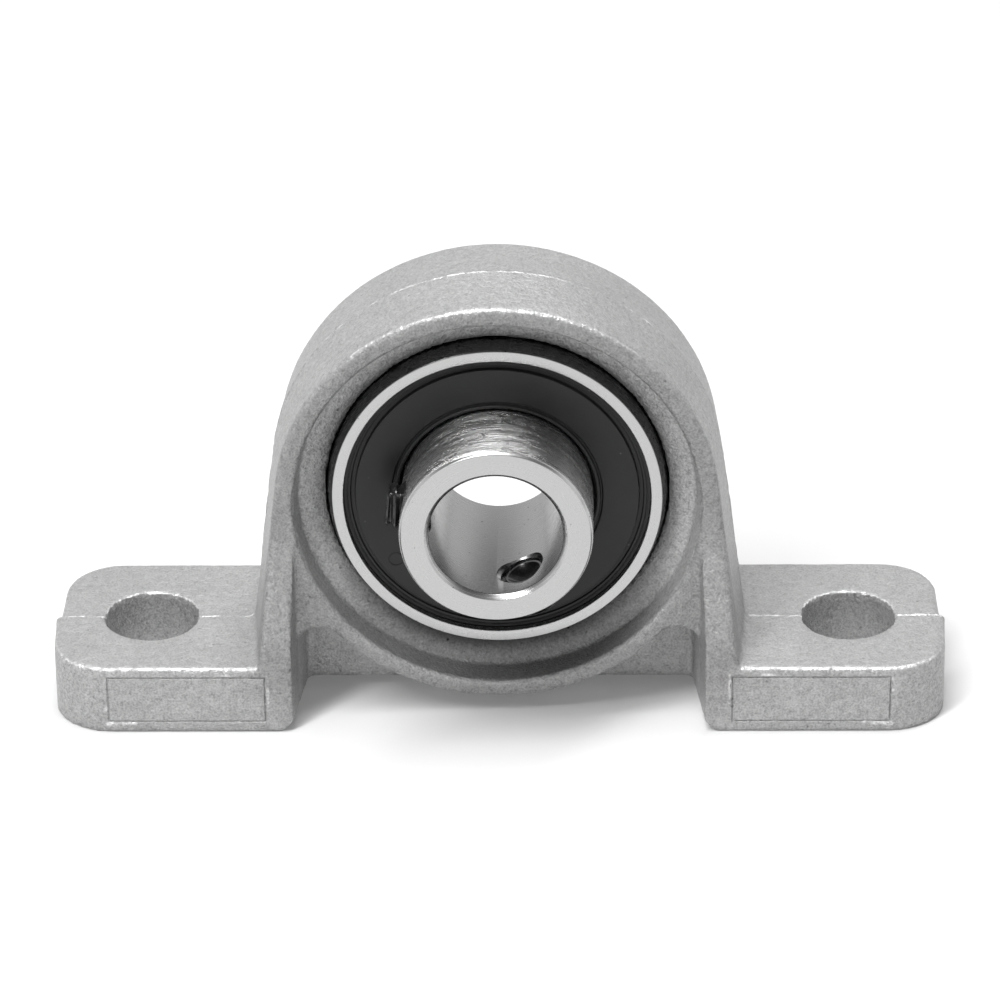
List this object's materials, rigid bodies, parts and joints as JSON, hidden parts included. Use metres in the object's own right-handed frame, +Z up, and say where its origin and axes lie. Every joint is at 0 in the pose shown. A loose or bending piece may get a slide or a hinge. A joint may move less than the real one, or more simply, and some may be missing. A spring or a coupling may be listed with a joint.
{
  "type": "pillow block bearing",
  "caption": "Small cast pillow block with two bolted feet, holding a self-aligning, sealed ball bearing insert whose long inner ring is locked to the shaft by set screws.",
  "frame": {"origin": "on the mounting plane under the feet, under the bearing centre, midway between the bolt holes", "axes": "+X along the base from bolt hole to bolt hole, -Y towards the front where the inner ring stands out, +Z up from the mounting plane"},
  "size_m": [0.067, 0.018, 0.035],
  "materials": {
    "cast_zinc": "as-cast zinc alloy, matte, fine sandy grain",
    "bearing_steel": "ground bearing steel",
    "pressed_steel": "cold-rolled strip, pressed",
    "ball_steel": "polished",
    "black_steel": "black oxide",
    "seal_rubber": "moulded nitrile rubber"
  },
  "bodies": {
    "housing": {"housing": "cast_zinc"},
    "bearing_outer": {"outer_ring": "bearing_steel", "front_seal": "seal_rubber", "front_seal_washer": "pressed_steel", "rear_seal": "seal_rubber", "rear_seal_washer": "pressed_steel"},
    "bearing_inner": {"inner_ring": "bearing_steel"},
    "cage": {"cage_front": "pressed_steel", "cage_rear": "pressed_steel", "cage_rivet_1": "pressed_steel", "cage_rivet_2": "pressed_steel", "cage_rivet_3": "pressed_steel", "cage_rivet_4": "pressed_steel", "cage_rivet_5": "pressed_steel", "cage_rivet_6": "pressed_steel", "cage_rivet_7": "pressed_steel"},
    "left_set_screw": {"left_set_screw": "black_steel"},
    "lower_set_screw": {"lower_set_screw": "black_steel"},
    "ball_1": {"ball_1": "ball_steel"},
    "ball_2": {"ball_2": "ball_steel"},
    "ball_3": {"ball_3": "ball_steel"},
    "ball_4": {"ball_4": "ball_steel"},
    "ball_5": {"ball_5": "ball_steel"},
    "ball_6": {"ball_6": "ball_steel"},
    "ball_7": {"ball_7": "ball_steel"}
  },
  "joints": [
    {"name": "insert_tilt", "type": "hinge", "parent": "housing", "child": "bearing_outer", "pos_m": [0, 0, 0.018], "axis": [1, 0, 0], "range_deg": [-5, 5]},
    {"name": "inner_spin", "type": "hinge", "parent": "bearing_outer", "child": "bearing_inner", "pos_m": [0, 0, 0.018], "axis": [0, 1, 0], "continuous": true},
    {"name": "cage_spin", "type": "hinge", "parent": "bearing_outer", "child": "cage", "pos_m": [0, 0, 0.018], "axis": [0, 1, 0], "continuous": true},
    {"name": "left_set_screw_travel", "type": "slide", "parent": "bearing_inner", "child": "left_set_screw", "axis": [0.9914, 0, -0.1305], "range_m": [-0.0012, 0.0002]},
    {"name": "lower_set_screw_travel", "type": "slide", "parent": "bearing_inner", "child": "lower_set_screw", "axis": [-0.3827, 0, 0.9239], "range_m": [-0.0012, 0.0002]},
    {"name": "ball_1_spin", "type": "hinge", "parent": "cage", "child": "ball_1", "pos_m": [0, 0, 0.027], "axis": [0, 1, 0], "continuous": true},
    {"name": "ball_2_spin", "type": "hinge", "parent": "cage", "child": "ball_2", "pos_m": [-0.00704, 0, 0.02361], "axis": [0, 1, 0], "continuous": true},
    {"name": "ball_3_spin", "type": "hinge", "parent": "cage", "child": "ball_3", "pos_m": [-0.00877, 0, 0.016], "axis": [0, 1, 0], "continuous": true},
    {"name": "ball_4_spin", "type": "hinge", "parent": "cage", "child": "ball_4", "pos_m": [-0.0039, 0, 0.00989], "axis": [0, 1, 0], "continuous": true},
    {"name": "ball_5_spin", "type": "hinge", "parent": "cage", "child": "ball_5", "pos_m": [0.0039, 0, 0.00989], "axis": [0, 1, 0], "continuous": true},
    {"name": "ball_6_spin", "type": "hinge", "parent": "cage", "child": "ball_6", "pos_m": [0.00877, 0, 0.016], "axis": [0, 1, 0], "continuous": true},
    {"name": "ball_7_spin", "type": "hinge", "parent": "cage", "child": "ball_7", "pos_m": [0.00704, 0, 0.02361], "axis": [0, 1, 0], "continuous": true}
  ],
  "couplings": [
    {"joint": "cage_spin", "follows": "inner_spin", "ratio": 0.36772},
    {"joint": "ball_1_spin", "follows": "inner_spin", "ratio": -1.7577},
    {"joint": "ball_2_spin", "follows": "inner_spin", "ratio": -1.7577},
    {"joint": "ball_3_spin", "follows": "inner_spin", "ratio": -1.7577},
    {"joint": "ball_4_spin", "follows": "inner_spin", "ratio": -1.7577},
    {"joint": "ball_5_spin", "follows": "inner_spin", "ratio": -1.7577},
    {"joint": "ball_6_spin", "follows": "inner_spin", "ratio": -1.7577},
    {"joint": "ball_7_spin", "follows": "inner_spin", "ratio": -1.7577}
  ]
}
